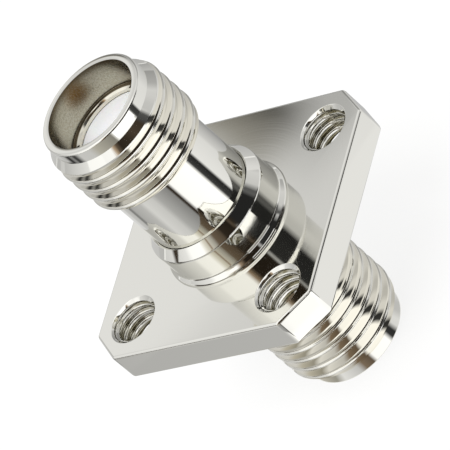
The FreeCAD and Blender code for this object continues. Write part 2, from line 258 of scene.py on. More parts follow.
def turned(name, corners, steps=STEPS, closed=True):
    """Turn a half section, radius and height, round the axis into a closed solid."""
    solid = drawn_outline(name, corners, closed)
    bpy.ops.mesh.select_all(action="SELECT")
    bpy.ops.mesh.spin(steps=steps, angle=math.tau, center=(0, 0, 0), axis=(0, 0, 1))
    bpy.ops.mesh.select_all(action="SELECT")
    bpy.ops.mesh.remove_doubles(threshold=MERGE)
    bpy.ops.mesh.normals_make_consistent(inside=False)
    bpy.ops.object.mode_set(mode="OBJECT")
    return solid


def combine(piece, tool, operation):
    """Cut one solid by another, or join them, and use the other one up."""
    choose(piece)
    bpy.ops.object.modifier_add(type="BOOLEAN")
    cut = piece.modifiers[-1]
    cut.object = tool
    cut.operation = operation
    cut.solver = "MANIFOLD"
    bpy.ops.object.modifier_apply(modifier=cut.name)
    bpy.data.objects.remove(tool, do_unlink=True)


def copies(piece, places):
    """Copy a solid to each place, each with its own mesh, and join the copies into one object."""
    made = []
    for place in places:
        choose(piece)
        bpy.ops.object.duplicate(linked=False)
        copy = bpy.context.object
        copy.location = place
        bpy.ops.object.transform_apply(location=True)
        made.append(copy)
    bpy.data.objects.remove(piece, do_unlink=True)
    clear_selection()
    for copy in made:
        copy.select_set(True)
    bpy.context.view_layer.objects.active = made[0]
    bpy.ops.object.join()
    return bpy.context.object


def finish_piece(piece, name, node, material):
    """Smooth a finished piece with its flats kept flat, and let it stand for its node."""
    choose(piece)
    piece.name = piece.data.name = name
    bpy.ops.object.shade_smooth_by_angle(angle=math.radians(30))
    bpy.ops.object.modifier_add(type="WEIGHTED_NORMAL")
    weighted = piece.modifiers[-1]
    weighted.weight = 50
    weighted.keep_sharp = True
    bpy.ops.object.modifier_apply(modifier=weighted.name)
    piece.data.materials.clear()
    piece.data.materials.append(material)
    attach(piece, "root")
    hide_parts(node)


def threaded_rod(name, half_section, pitch, start, end, steps):
    """A rod with a right-hand thread all along it, from below one height to above another.
    The half section runs from the middle of a root, which lies over the +X axis at the first
    height, to the middle of a crest: radius, height above that root, and rounding."""
    below = [(corner[0], start - corner[1], *corner[2:]) for corner in reversed(half_section)]
    above = [(corner[0], start + corner[1], *corner[2:]) for corner in half_section]
    rod = drawn_outline(name, below + above, closed=False)
    bpy.ops.object.mode_set(mode="OBJECT")
    bpy.ops.object.modifier_add(type="SCREW")
    screw = rod.modifiers[-1]
    turns = math.ceil((end - start) / pitch)
    screw.axis = "Z"
    screw.angle = math.tau * turns
    screw.screw_offset = pitch * turns
    screw.steps = screw.render_steps = steps * turns
    bpy.ops.object.modifier_apply(modifier=screw.name)
    bpy.ops.object.mode_set(mode="EDIT")
    bpy.ops.mesh.select_all(action="SELECT")
    bpy.ops.mesh.remove_doubles(threshold=MERGE)
    bpy.ops.mesh.fill_holes(sides=0)
    bpy.ops.mesh.select_all(action="SELECT")
    bpy.ops.mesh.normals_make_consistent(inside=False)
    # the folded ends can mislead the operator above, so the sign of the volume decides
    if bmesh.from_edit_mesh(rod.data).calc_volume(signed=True) < 0:
        bpy.ops.mesh.flip_normals()
    bpy.ops.object.mode_set(mode="OBJECT")
    return rod


def jack_section(sizes, rim, outward):
    """The half section of a jack's end, from the joint plane along its bore, round its rim and
    along its outside to the thread. Outward is 1 for the front jack and -1 for the rear one."""
    head = HEAD_RADIUS + sizes.fit_gap
    bead = sizes.bead_radius + sizes.fit_gap
    head_end = JOINT_PLANE + outward * sizes.head_length
    foot = rim - outward * sizes.socket_depth
    lead = rim - outward * sizes.lead_length
    rise = THREAD_RADIUS - sizes.lead_radius
    return [
        (head, JOINT_PLANE),
        (head, head_end),
        (bead, head_end),
        (bead, foot - outward * sizes.floor_bevel),
        (bead + sizes.floor_bevel, foot, sizes.ease),
        (sizes.socket_radius, foot, 2 * sizes.ease),
        (sizes.socket_radius, rim, sizes.ease),
        (sizes.lead_radius - sizes.rim_bevel, rim, sizes.rim_ease),
        (sizes.lead_radius, rim - outward * sizes.rim_bevel, sizes.rim_ease),
        (sizes.lead_radius, lead),
        (THREAD_RADIUS, lead - outward * rise, sizes.ease),
    ]


def cut_thread(piece, sizes, groove, low, high):
    """Cut a right-hand thread into a barrel between two heights, with a ring round the wanted
    rod. The middle of a groove is at a given height over the +X axis."""
    # the crests lie a skin's thickness inside the barrel, so that no two faces fall together
    skin = 0.002 * MM
    clear = 0.2 * MM
    crest = THREAD_RADIUS - skin
    edge = (sizes.thread_pitch - sizes.thread_crest) / 2
    foot = edge - sizes.flank_depth * math.tan(BARREL_FLANK)
    # the root is wide and hollow: a corner in each half of it, eased most of the way
    root_corner, hollow = 0.42 * foot, 0.4 * foot
    start = groove - math.ceil((groove - low) / sizes.thread_pitch + 1) * sizes.thread_pitch
    rod = threaded_rod("rod", [
        (crest - sizes.thread_depth, root_corner, hollow),
        (crest - sizes.flank_depth, foot, sizes.root_ease),
        (crest, edge, sizes.crest_ease),
        (crest, sizes.thread_pitch / 2),
    ], sizes.thread_pitch, start, high + sizes.thread_pitch, STEPS)
    inside = (sizes.lead_radius + crest - sizes.thread_depth) / 2
    outside = THREAD_RADIUS + clear
    ring = turned("ring", [(inside, low), (outside, low), (outside, high), (inside, high)])
    combine(ring, rod, "DIFFERENCE")
    combine(piece, ring, "DIFFERENCE")


def add_node(tree, kind, settings=None, inputs=None):
    """Add a node, set it up, and fill its inputs with values or other nodes' outputs."""
    node = tree.nodes.new("ShaderNode" + kind)
    for key, value in (settings or {}).items():
        setattr(node, key, value)
    for key, value in (inputs or {}).items():
        if isinstance(value, bpy.types.NodeSocket):
            tree.links.new(value, node.inputs[key])
        else:
            node.inputs[key].default_value = value
    return node


def new_material(name):
    """Start a material with an empty node tree, and give both."""
    material = bpy.data.materials.new(name)
    material.use_nodes = True
    material.node_tree.nodes.clear()
    return material, material.node_tree


def times(tree, first, second):
    """The product of two values."""
    return add_node(tree, "Math", {"operation": "MULTIPLY"}, {0: first, 1: second}).outputs[0]


def axis_coordinates(tree):
    """Give the place on the piece, its distance from the axis and its height."""
    place = add_node(tree, "TexCoord").outputs["Object"]
    split = add_node(tree, "SeparateXYZ", inputs={0: place})
    square_x = times(tree, split.outputs["X"], split.outputs["X"])
    both = add_node(tree, "Math", {"operation": "MULTIPLY_ADD"},
                    {0: split.outputs["Y"], 1: split.outputs["Y"], 2: square_x})
    radius = add_node(tree, "Math", {"operation": "SQRT"}, {0: both.outputs[0]})
    return place, radius.outputs[0], split.outputs["Z"]


def ramp(tree, value, low, high):
    """Rise from 0 to 1 while a value goes from low to high."""
    return add_node(tree, "MapRange", {"interpolation_type": "SMOOTHSTEP"},
                    {"Value": value, "From Min": low, "From Max": high}).outputs["Result"]


def between(tree, value, low, high, edge):
    """1 where a value lies between two limits, with soft edges outside them."""
    return times(tree, ramp(tree, value, low - edge, low), ramp(tree, value, high + edge, high))


def blend_values(tree, factor, first, second):
    """The first value where the factor is 0, and the second where it is 1."""
    return add_node(tree, "Mix", {"data_type": "FLOAT"}, {
        "Factor": factor, 2: first, 3: second}).outputs[0]


def blend_colours(tree, factor, first, second):
    """The first colour where the factor is 0, and the second where it is 1."""
    return add_node(tree, "Mix", {"data_type": "RGBA"}, {
        "Factor": factor, 6: first, 7: second}).outputs[2]


def azimuth_of(tree, place):
    """The azimuth of a place, in radians."""
    sides = add_node(tree, "SeparateXYZ", inputs={0: place}).outputs
    return add_node(tree, "Math", {"operation": "ARCTAN2"}, {0: sides["Y"], 1: sides["X"]}).outputs[0]


def lathe_rings(tree, radius, height, spacing, depth):
    """The bumps of the faint rings that a lathe's tool leaves."""
    place = add_node(tree, "CombineXYZ", inputs={"X": radius, "Y": height})
    rings = add_node(tree, "TexNoise", inputs={
        "Vector": place.outputs[0], "Scale": 1 / spacing, "Detail": 2.0})
    return add_node(tree, "Bump", inputs={
        "Strength": 1.0, "Distance": depth, "Height": rings.outputs["Fac"]}).outputs["Normal"]


def hole_distance(tree, place, sizes):
    """The distance from the axis of the nearest screw hole."""
    centre = FLANGE_HALF - sizes.screw_edge
    side = add_node(tree, "VectorMath", {"operation": "ABSOLUTE"}, {0: place})
    flat = add_node(tree, "VectorMath", {"operation": "MULTIPLY"}, {0: side.outputs[0], 1: (1, 1, 0)})
    return add_node(tree, "VectorMath", {"operation": "DISTANCE"}, {
        0: flat.outputs[0], 1: (centre, centre, 0)}).outputs["Value"]


def bore_wall(tree, colours, sizes, place, height, rim, foot):
    """The colour of the wall of a bore: brushed round the axis, mottled, and darkened by painted shade
    near the rim, at the foot and away from the brown stain."""
    across = times(tree, azimuth_of(tree, place), 1.6 * sizes.socket_radius)
    brushed = add_node(tree, "CombineXYZ", inputs={"X": across, "Y": height})
    grain = add_node(tree, "TexNoise", inputs={
        "Vector": brushed.outputs[0], "Scale": 1 / (0.11 * MM), "Detail": 4.0,
        "Roughness": 0.6}).outputs["Fac"]
    wall = blend_colours(tree, ramp(tree, grain, 0.3, 0.8),
                         (*colours.bore_light, 1), (*colours.bore_dark, 1))
    # painted shade: the wall darkens near the rim, at the foot of the bore and away from the brown
    # stain
    painted_bore_shade = (*colours.painted_bore_shade, 1)
    below_rim = rim + math.copysign(0.45 * MM, foot - rim)
    shade_near_rim = times(tree, ramp(tree, height, below_rim, rim), 0.85)
    wall = blend_colours(tree, shade_near_rim, wall, painted_bore_shade)
    shade_at_foot = between(tree, height, foot - 0.01 * MM, foot + 0.05 * MM, 0.06 * MM)
    wall = blend_colours(tree, times(tree, shade_at_foot, 0.7), wall, painted_bore_shade)
    stain_place = direction(STAIN_AZIMUTH, 0) * sizes.socket_radius
    stain_place.z = FRONT_RIM - sizes.stain_depth
    apart = add_node(tree, "VectorMath", {"operation": "DISTANCE"},
                     {0: place, 1: stain_place}).outputs["Value"]
    shade_far_side = times(tree, ramp(tree, apart, 1.7 * MM, 3.3 * MM), 0.8)
    wall = blend_colours(tree, shade_far_side, wall, painted_bore_shade)
    stained = times(tree, ramp(tree, apart, 0.9 * MM, 0.1 * MM), ramp(tree, grain, 0.0, 0.6))
    return blend_colours(tree, stained, wall, (*colours.stain, 1))


def make_nickel(name, colours, sizes, thread_span, rim, foot):
    """Bright nickel over turned brass: a clear mirror with faint rings from the lathe, warmer in
    the roots of the thread, satin on the flange's face, with painted shade in the roots of the tapped
    holes, and dull and mottled, with painted shade, in the bore between its rim and its foot."""
    material, tree = new_material(name)
    place, radius, height = axis_coordinates(tree)
    # rings from the tool's feed, 0.05 mm apart, drawn coarse enough to show
    rings = lathe_rings(tree, radius, height, 0.12 * MM, 0.0002 * MM)

    # the plate is a little duller in patches, and satin where it was only milled
    patches = add_node(tree, "TexNoise", inputs={
        "Vector": place, "Scale": 1 / (0.9 * MM), "Detail": 3.0}).outputs["Fac"]
    bright = add_node(tree, "MapRange", inputs={
        "Value": patches, "From Min": 0.35, "From Max": 0.7, "To Min": 0.03, "To Max": 0.06})
    face = sizes.flange_thickness
    on_face = times(tree, ramp(tree, radius, sizes.foot_radius, sizes.foot_radius + 0.05 * MM),
                    between(tree, height, face - 0.01 * MM, face, 0.01 * MM))
    in_bore = times(tree, ramp(tree, radius, sizes.socket_radius + 0.02 * MM, sizes.socket_radius),
                    between(tree, height, min(rim, foot), max(rim, foot), 0.02 * MM))
    satin = blend_values(tree, on_face, bright.outputs["Result"], FACE_ROUGHNESS)
    roughness = blend_values(tree, in_bore, satin, BORE_ROUGHNESS)

    # in the roots of the thread the plate is warmer
    in_root = times(tree, ramp(tree, radius, THREAD_RADIUS, THREAD_RADIUS - sizes.thread_depth),
                    between(tree, height, *thread_span, 0.05 * MM))
    plate = blend_colours(tree, in_root, (*colours.nickel, 1), (*colours.nickel_root, 1))

    # painted shade: the roots of the tapped holes are darkened in patches, deeper than 0.2 mm below
    # the face
    away = hole_distance(tree, place, sizes)
    in_tap = times(tree, between(tree, away, sizes.screw_radius + 0.07 * MM,
                                 sizes.screw_radius + sizes.screw_depth, 0.05 * MM),
                   ramp(tree, height, face - 0.2 * MM, face - 0.3 * MM))
    hole_shade_share = times(tree, in_tap, ramp(tree, patches, 0.2, 0.6))
    plate = blend_colours(tree, hole_shade_share, plate, (*colours.painted_hole_shade, 1))

    wall = bore_wall(tree, colours, sizes, place, height, rim, foot)
    surface = add_node(tree, "BsdfPrincipled", inputs={
        "Base Color": blend_colours(tree, in_bore, plate, wall), "Metallic": 1.0,
        "Roughness": roughness, "Normal": rings})
    add_node(tree, "OutputMaterial", inputs={"Surface": surface.outputs["BSDF"]})
    return material


def make_bead_white(colours):
    """Machined white fluoropolymer: waxy, slightly clear, with faint rings."""
    material, tree = new_material("machined_fluoropolymer")
    place, radius, height = axis_coordinates(tree)
    rings = lathe_rings(tree, radius, height, 0.08 * MM, 0.002 * MM)
    cloud = add_node(tree, "TexNoise", inputs={"Vector": place, "Scale": 1 / (0.7 * MM)})
    tint = add_node(tree, "MixRGB", {"blend_type": "MULTIPLY"}, {
        "Fac": 0.08, "Color1": (*colours.bead, 1), "Color2": cloud.outputs["Color"]})
    surface = add_node(tree, "BsdfPrincipled", inputs={
        "Base Color": tint.outputs["Color"], "Roughness": 0.42, "IOR": 1.35,
        "Subsurface Weight": 0.25, "Subsurface Radius": (1.0, 0.9, 0.8),
        "Subsurface Scale": 0.3 * MM, "Normal": rings})
    add_node(tree, "OutputMaterial", inputs={"Surface": surface.outputs["BSDF"]})
    return material


def make_gilt(colours):
    """Gold plate on a spring contact: a soft warm mirror with fine rings."""
    material, tree = new_material("gold_plated_copper_alloy")
    place, radius, height = axis_coordinates(tree)
    rings = lathe_rings(tree, radius, height, 0.06 * MM, 0.0006 * MM)
    patches = add_node(tree, "TexNoise", inputs={"Vector": place, "Scale": 1 / (0.4 * MM)})
    dull = add_node(tree, "MapRange", inputs={
        "Value": patches.outputs["Fac"], "To Min": 0.12, "To Max": 0.24})
    surface = add_node(tree, "BsdfPrincipled", inputs={
        "Base Color": (*colours.gilt, 1), "Metallic": 1.0,
        "Roughness": dull.outputs["Result"], "Normal": rings})
    add_node(tree, "OutputMaterial", inputs={"Surface": surface.outputs["BSDF"]})
    return material


class ADAPTER_OT_flange_body(bpy.types.Operator):
    """Model the flange with its boss and rear barrel, which are cut from one bar"""
    bl_idname = "adapter.flange_body"
    bl_label = "Flange body"

    def execute(self, context):
        sizes = context.scene.adapter_sizes
        plate = self.model_plate(sizes)
        middle = (sizes.neck_radius + sizes.boss_radius) / 2
        core = turned("core", [(0, -sizes.register_length), (middle, -sizes.register_length),
                               (middle, BOSS_FRONT), (0, BOSS_FRONT)], closed=False)
        combine(plate, core, "DIFFERENCE")
        combine(plate, self.model_turned_part(sizes), "UNION")
        self.cut_screw_holes(plate, sizes)
        relief_middle = -sizes.register_length - sizes.relief_length / 2
        cut_thread(plate, sizes, REAR_RIM + sizes.rear_phase, REAR_RIM + sizes.lead_length / 2,
                   relief_middle)
        thread_span = (REAR_RIM + sizes.lead_length, -sizes.register_length - sizes.relief_length)
        nickel = make_nickel("bright_nickel_body", context.scene.adapter_colours, sizes,
                             thread_span, REAR_RIM, REAR_RIM + sizes.socket_depth)
        finish_piece(plate, "flange_body_piece", "flange_body", nickel)
        return {"FINISHED"}

    def model_plate(self, sizes):
        """The square plate: corners cut, then every edge rounded."""
        clear_selection()
        bpy.ops.mesh.primitive_cube_add(size=1, location=(0, 0, sizes.flange_thickness / 2))
        plate = bpy.context.object
        plate.scale = (2 * FLANGE_HALF, 2 * FLANGE_HALF, sizes.flange_thickness)
        bpy.ops.object.transform_apply(location=True, scale=True)
        bpy.ops.object.mode_set(mode="EDIT")
        select_parts(plate, "edges", lambda ends: abs(ends[0].z - ends[1].z) > MERGE)
        bpy.ops.mesh.bevel(offset=sizes.corner_cut, segments=1, affect="EDGES")
        bpy.ops.mesh.select_all(action="SELECT")
        bpy.ops.mesh.bevel(offset=sizes.flange_bevel, segments=4, profile=0.5, affect="EDGES")
        bpy.ops.object.mode_set(mode="OBJECT")
        return plate

    def model_turned_part(self, sizes):
        """Register, rear barrel and boss round the through bore."""
        front = sizes.flange_thickness
        inside = front / 2
        relief_foot = -sizes.register_length - sizes.relief_length
        shank = sizes.neck_radius + sizes.fit_gap
        bevel_radius = sizes.boss_radius - sizes.boss_bevel_width
        ease = sizes.ease
        return turned("turned_part", jack_section(sizes, REAR_RIM, -1) + [
            (THREAD_RADIUS, relief_foot, ease),
            (sizes.neck_radius, relief_foot),
            (sizes.neck_radius, -sizes.register_length),
            (sizes.boss_radius, -sizes.register_length, ease),
            (sizes.boss_radius, inside),
            (sizes.foot_radius, inside),
            (sizes.foot_radius, front + sizes.foot_side, sizes.foot_ease),
            (sizes.boss_radius, front + sizes.foot_height, sizes.foot_ease),
            (sizes.boss_radius, BOSS_FRONT - sizes.boss_bevel_length, sizes.boss_ease),
            (bevel_radius, BOSS_FRONT, ease),
            (shank + sizes.seam_width, BOSS_FRONT, ease / 2),
            (shank, BOSS_FRONT - sizes.seam_depth),
            (shank, JOINT_PLANE),
        ])

    def cut_screw_holes(self, plate, sizes):
        """Four tapped holes with bevelled mouths in front."""
        front = sizes.flange_thickness
        beyond = 0.3 * MM
        mouth_depth = 0.16 * MM
        step_foot = front - mouth_depth - 0.05 * MM
        step_radius = sizes.screw_radius + 0.06 * MM
        drill = turned("drill", [
            (0, step_foot),
            (step_radius, step_foot),
            (step_radius, front - mouth_depth, sizes.ease),
            (sizes.screw_mouth, front, sizes.mouth_ease),
            (sizes.screw_mouth + beyond, front + 0.2 * beyond),
            (sizes.screw_mouth + beyond, front + beyond),
            (0, front + beyond),
        ], HOLE_STEPS, closed=False)
        land = 0.07 * MM
        root_ease = 0.06 * MM
        root = sizes.screw_radius + sizes.screw_depth
        foot = land + sizes.screw_depth * math.tan(HOLE_FLANK)
        tap = threaded_rod("tap", [
            (sizes.screw_radius, land, 0.8 * land),
            (root, foot, root_ease),
            (root, sizes.screw_pitch / 2),
        ], sizes.screw_pitch, -beyond, front + beyond, HOLE_STEPS)
        place = FLANGE_HALF - sizes.screw_edge
        places = [(side_x * place, side_y * place, 0) for side_x in (1, -1) for side_y in (1, -1)]
        combine(plate, copies(drill, places), "DIFFERENCE")
        combine(plate, copies(tap, places), "DIFFERENCE")


class ADAPTER_OT_front_barrel(bpy.types.Operator):
    """Model the threaded jack on its plain neck"""
    bl_idname = "adapter.front_barrel"
    bl_label = "Front barrel"

    def execute(self, context):
        sizes = context.scene.adapter_sizes
        rise = THREAD_RADIUS - sizes.lead_radius
        lead = FRONT_RIM - sizes.lead_length
        shoulder = lead - sizes.front_thread_length
        barrel = turned("barrel", jack_section(sizes, FRONT_RIM, 1) + [
            (THREAD_RADIUS, shoulder, sizes.ease),
            (sizes.neck_radius, shoulder),
            (sizes.neck_radius, JOINT_PLANE),
        ])
        run_out = 0.2 * MM
        cut_thread(barrel, sizes, shoulder - sizes.front_phase, shoulder - run_out,
                   FRONT_RIM - sizes.lead_length / 2)
        nickel = make_nickel("bright_nickel_barrel", context.scene.adapter_colours, sizes,
                             (shoulder, lead - rise), FRONT_RIM,
                             FRONT_RIM - sizes.socket_depth)
        finish_piece(barrel, "front_barrel_piece", "front_barrel", nickel)
        return {"FINISHED"}


class ADAPTER_OT_beads(bpy.types.Operator):
    """Model the two white beads that hold the contact"""
    bl_idname = "adapter.beads"
    bl_label = "Beads"

    def execute(self, context):
        sizes = context.scene.adapter_sizes
        white = make_bead_white(context.scene.adapter_colours)
        bore = sizes.contact_radius + sizes.fit_gap
        collar = sizes.collar_radius + sizes.fit_gap
        collar_foot = JOINT_PLANE - sizes.collar_length
        front_seat = [(bore, JOINT_PLANE)]
        rear_seat = [(collar, JOINT_PLANE), (collar, collar_foot), (bore, collar_foot)]
        for node, face, outward, seat in (("front_insulator", FRONT_FACE, 1, front_seat),
                                          ("rear_insulator", REAR_FACE, -1, rear_seat)):
            head_end = JOINT_PLANE + outward * sizes.head_length
            bead = turned(node, [
                (bore, face, sizes.ease),
                (sizes.bead_radius, face, sizes.ease),
                (sizes.bead_radius, head_end),
                (HEAD_RADIUS, head_end, sizes.ease),
                (HEAD_RADIUS, JOINT_PLANE, sizes.ease),
            ] + seat)
            finish_piece(bead, node + "_piece", node, white)
        return {"FINISHED"}


class ADAPTER_OT_contact(bpy.types.Operator):
    """Model the gilt contact: drilled and slotted at both ends"""
    bl_idname = "adapter.contact"
    bl_label = "Centre contact"

    def execute(self, context):
        sizes = context.scene.adapter_sizes
        front, rear = CONTACT_HIGH.z, CONTACT_LOW.z
        ease = sizes.ease
        contact = turned("contact", [
            (0, rear + sizes.pin_depth),
            (sizes.pin_radius, rear + sizes.pin_depth),
            (sizes.pin_radius, rear, ease),
            (sizes.contact_radius, rear, 2 * ease),
            (sizes.contact_radius, JOINT_PLANE - sizes.collar_length),
            (sizes.collar_radius, JOINT_PLANE - sizes.collar_length, ease),
            (sizes.collar_radius, JOINT_PLANE, ease),
            (sizes.contact_radius, JOINT_PLANE),
            (sizes.contact_radius, front, 2 * ease),
            (sizes.pin_radius, front, ease),
            (sizes.pin_radius, front - sizes.pin_depth),
            (0, front - sizes.pin_depth),
        ], CONTACT_STEPS, closed=False)
        for tip in (front, rear):
            for wide, narrow in ((0, 1), (1, 0)):
                clear_selection()
                bpy.ops.mesh.primitive_cube_add(size=1, location=(0, 0, tip))
                saw = bpy.context.object
                saw.scale[wide] = 4 * sizes.contact_radius
                saw.scale[narrow] = sizes.slot_width
                saw.scale[2] = 2 * sizes.slot_length
                bpy.ops.object.transform_apply(location=True, scale=True)
                combine(contact, saw, "DIFFERENCE")
        gilt = make_gilt(context.scene.adapter_colours)
        finish_piece(contact, "centre_contact_piece", "centre_contact", gilt)
        return {"FINISHED"}


# The camera, as the photo's view was found: its direction, roll and aim
CAMERA_AZIMUTH = -38.39
CAMERA_ELEVATION = 35.27
CAMERA_ROLL = -49.10
CAMERA_DISTANCE = 200 * MM
CAMERA_AIM = Vector((-0.062, -0.112, 1.724)) * MM
CAMERA_LENS = 354.96


# The studio as the metal mirrors it. Each band lists its panels by the azimuth in degrees at
# which they begin and end, their brightness at both ends, and their tint.
PAPER, CREAM, BROWN = "#FFFFFF", "#FFFAEC", "#FFE0BE"
# Bands on the table, by their distance from the axis in millimetres
NEAR_AND_FAR_TABLE = [
    ("pale wall behind", -180, -156, 0.66, 0.72, PAPER),
    ("grey wall", -144, -124, 0.55, 0.36, CREAM),
    ("pale wall", -112, -84, 0.86, 0.62, PAPER),
    ("brown wall", -72, -54, 0.22, 0.13, BROWN),
    ("bright panel", -46, -4, 1.20, 1.25, PAPER),
    ("black flag", 5, 15, 0.04, 0.03, PAPER),
    ("white wall", 24, 34, 0.80, 0.82, PAPER),
    ("shaded wall", 46, 58, 0.60, 0.58, PAPER),
    ("white wall's end", 70, 90, 0.70, 0.68, PAPER),
    ("grey wall behind", 106, 160, 0.62, 0.62, PAPER),
]
MIDDLE_TABLE = [
    ("pale wall behind", -180, -150, 0.62, 0.50, PAPER),
    ("grey wall", -142, -96, 0.50, 0.54, PAPER),
    ("pale corner", -80, -70, 0.70, 1.00, PAPER),
    ("bright panel", -64, -3, 1.30, 1.20, PAPER),
    ("white wall", 2, 60, 0.92, 0.90, PAPER),
    ("shaded wall", 72, 114, 0.68, 0.45, PAPER),
    ("grey wall behind", 124, 165, 0.50, 0.65, PAPER),
]
OUTER_TABLE = [
    ("pale wall behind", -180, -165, 0.62, 0.55, PAPER),
    ("narrow dark gap", -162, -158, 0.26, 0.24, PAPER),
    ("grey wall", -153, -130, 0.46, 0.56, PAPER),
    ("pale wall", -120, -100, 0.76, 0.67, PAPER),
    ("shaded wall's edge", -90, -64, 0.46, 0.27, PAPER),
    ("dark edge", -61.5, -58.5, 0.04, 0.03, BROWN),
    ("bright panel", -53, -3, 1.20, 1.30, PAPER),
    ("black flag", 3, 16, 0.05, 0.02, PAPER),
    ("white wall", 21, 62, 0.92, 0.82, PAPER),
    ("shaded wall", 70, 114, 0.68, 0.33, PAPER),
    ("grey wall behind", 124, 138, 0.38, 0.56, PAPER),
    ("pale wall's end", 146, 168, 0.80, 0.72, PAPER),
]
FARTHEST_TABLE = [
    ("pale wall behind", -180, -170, 0.56, 0.55, PAPER),
    ("dark post", -161, -157, 0.04, 0.04, PAPER),
    ("grey gap", -152, -149, 0.25, 0.25, PAPER),
    ("dark post", -145, -141, 0.06, 0.06, PAPER),
    ("pale wall", -130, -108, 0.66, 0.64, PAPER),
    ("shaded wall's edge", -94, -56, 0.50, 0.27, CREAM),
    ("bright panel", -50, -4, 1.25, 1.30, PAPER),
    ("black flag", 3, 13, 0.06, 0.04, PAPER),
    ("white wall", 17, 62, 0.88, 0.84, PAPER),
    ("shaded wall", 78, 130, 0.73, 0.45, PAPER),
    ("pale wall's end", 145, 170, 0.62, 0.62, PAPER),
]
TABLE_BANDS = [(0, NEAR_AND_FAR_TABLE), (10.5, MIDDLE_TABLE), (19.3, OUTER_TABLE),
               (25.5, NEAR_AND_FAR_TABLE), (28.7, FARTHEST_TABLE)]
# Bands above the table, by their elevation in degrees
HORIZON = [
    ("pale wall behind", -180, -153, 0.66, 0.80, PAPER),
    ("dark doorway", -148, -126, 0.05, 0.04, BROWN),
    ("brown wall", -118, -84, 0.35, 0.30, CREAM),
    ("dark camera side", -78, 33, 0.03, 0.02, BROWN),
    ("white wall", 39, 72, 0.90, 0.82, PAPER),
    ("shaded wall", 82, 114, 0.74, 0.38, PAPER),
    ("grey wall behind", 124, 168, 0.42, 0.55, PAPER),
]
LOW_SKY = [
    ("grey wall behind", -170, -128, 0.58, 0.92, PAPER),
    ("white wall", -120, -100, 1.20, 1.25, PAPER),
    ("cream wall", -92, -88, 0.80, 0.66, CREAM),
    ("brown line", -86.4, -85.6, 0.30, 0.30, BROWN),
    ("cream wall's end", -84, -77, 0.62, 0.40, CREAM),
    ("brown wall", -72, -60, 0.15, 0.10, BROWN),
    ("dark camera", -55, -38, 0.03, 0.02, BROWN),
    ("brown gap", -34, -30, 0.09, 0.03, BROWN),
    ("black flag", -24, 20, 0.02, 0.02, PAPER),
    ("dark edge", 26, 32, 0.12, 0.10, PAPER),
    ("white wall", 42, 62, 0.66, 0.74, PAPER),
    ("shaded wall", 74, 112, 0.48, 0.28, PAPER),
    ("grey wall behind", 120, 136.9, 0.30, 0.50, PAPER),
    ("dark edge behind", 137.7, 139.2, 0.06, 0.29, CREAM),
    ("pale wall behind", 141.3, 156, 0.86, 0.90, PAPER),
    ("pale wall's end", 166, 179, 0.56, 0.55, PAPER),
]
# The low sky without its dark edge behind, for a narrow band above it
PLAIN_LOW_SKY = [panel for panel in LOW_SKY if panel[0] != "dark edge behind"]
MIDDLE_SKY = [
    ("pale wall behind", -180, -140, 0.80, 1.00, PAPER),
    ("white wall", -132, -84, 1.15, 1.20, PAPER),
    ("brown wall", -76, -70, 0.34, 0.10, BROWN),
    ("dark camera", -66, -34, 0.02, 0.02, BROWN),
    ("narrow lamp", -31, -29, 0.40, 0.40, PAPER),
    ("dark wall", -26, 16, 0.03, 0.02, PAPER),
    ("shaded wall", 28, 40, 0.62, 0.64, PAPER),
    ("white wall", 54, 100, 0.72, 0.72, PAPER),
    ("pale wall's end", 130, 170, 0.70, 0.80, PAPER),
]
HIGH_SKY = [
    ("white ceiling behind", -180, -84, 0.95, 1.15, PAPER),
    ("brown wall", -77, -70, 0.50, 0.12, BROWN),
    ("dark camera", -62, -42, 0.03, 0.04, BROWN),
    ("dark wall", -22, 0, 0.07, 0.05, BROWN),
    ("black flag", 8, 19, 0.07, 0.09, PAPER),
    ("white wall", 28, 170, 0.84, 0.90, PAPER),
]
CEILING = [("white ceiling", -180, 170, 1.35, 1.35, PAPER)]
SKY_BANDS = [(-90, HORIZON), (12, LOW_SKY), (35.3, PLAIN_LOW_SKY), (36.8, MIDDLE_SKY),
             (48, HIGH_SKY), (63, CEILING)]
# The panels' strongest glow, which a colour of 1 in their ramps stands for
PANEL_GLOW = 1.6


def panel_tones(tree, turn, panels):
    """The colour of one band of panels by the azimuth, as a share of a full turn."""
    tones = add_node(tree, "ValToRGB", inputs={"Fac": turn})
    stops = tones.color_ramp.elements
    stops.remove(stops[1])
    # the stop that a ramp keeps becomes the first one
    stop = stops[0]
    for _, begin, end, level_begin, level_end, tint in panels:
        for azimuth, level in ((begin, level_begin), (end, level_end)):
            if stop is None:
                stop = stops.new(azimuth / 360 + 0.5)
            stop.position = azimuth / 360 + 0.5
            stop.color = [level / PANEL_GLOW * channel for channel in linear(tint)] + [1]
            stop = None
    return tones.outputs["Color"]


def panel_material(name, bands, centre, by_elevation):
    """The glow of the panels by their azimuth round a centre and by their band."""
    material, tree = new_material(name)
    place = add_node(tree, "TexCoord").outputs["Object"]
    moved = add_node(tree, "VectorMath", {"operation": "SUBTRACT"}, {0: place, 1: centre})
    turn = add_node(tree, "Math", {"operation": "MULTIPLY_ADD"},
                    {0: azimuth_of(tree, moved.outputs[0]), 1: 1 / math.tau, 2: 0.5}).outputs[0]
    _, radius, height = axis_coordinates(tree)
    if by_elevation:
        angle = add_node(tree, "Math", {"operation": "ARCTAN2"}, {0: height, 1: radius})
        measure, unit, edge = angle.outputs[0], math.radians(1), 0.6
    else:
        measure, unit, edge = radius, MM, 0.3
    colour = None
    for limit, panels in bands:
        tones = panel_tones(tree, turn, panels)
        if colour is None:
            colour = tones
        else:
            beyond = ramp(tree, measure, (limit - edge) * unit, (limit + edge) * unit)
            colour = blend_colours(tree, beyond, colour, tones)
    glow = add_node(tree, "Emission", inputs={"Color": colour, "Strength": PANEL_GLOW})
    add_node(tree, "OutputMaterial", inputs={"Surface": glow.outputs[0]})
    material.cycles.emission_sampling = "NONE"
    return material


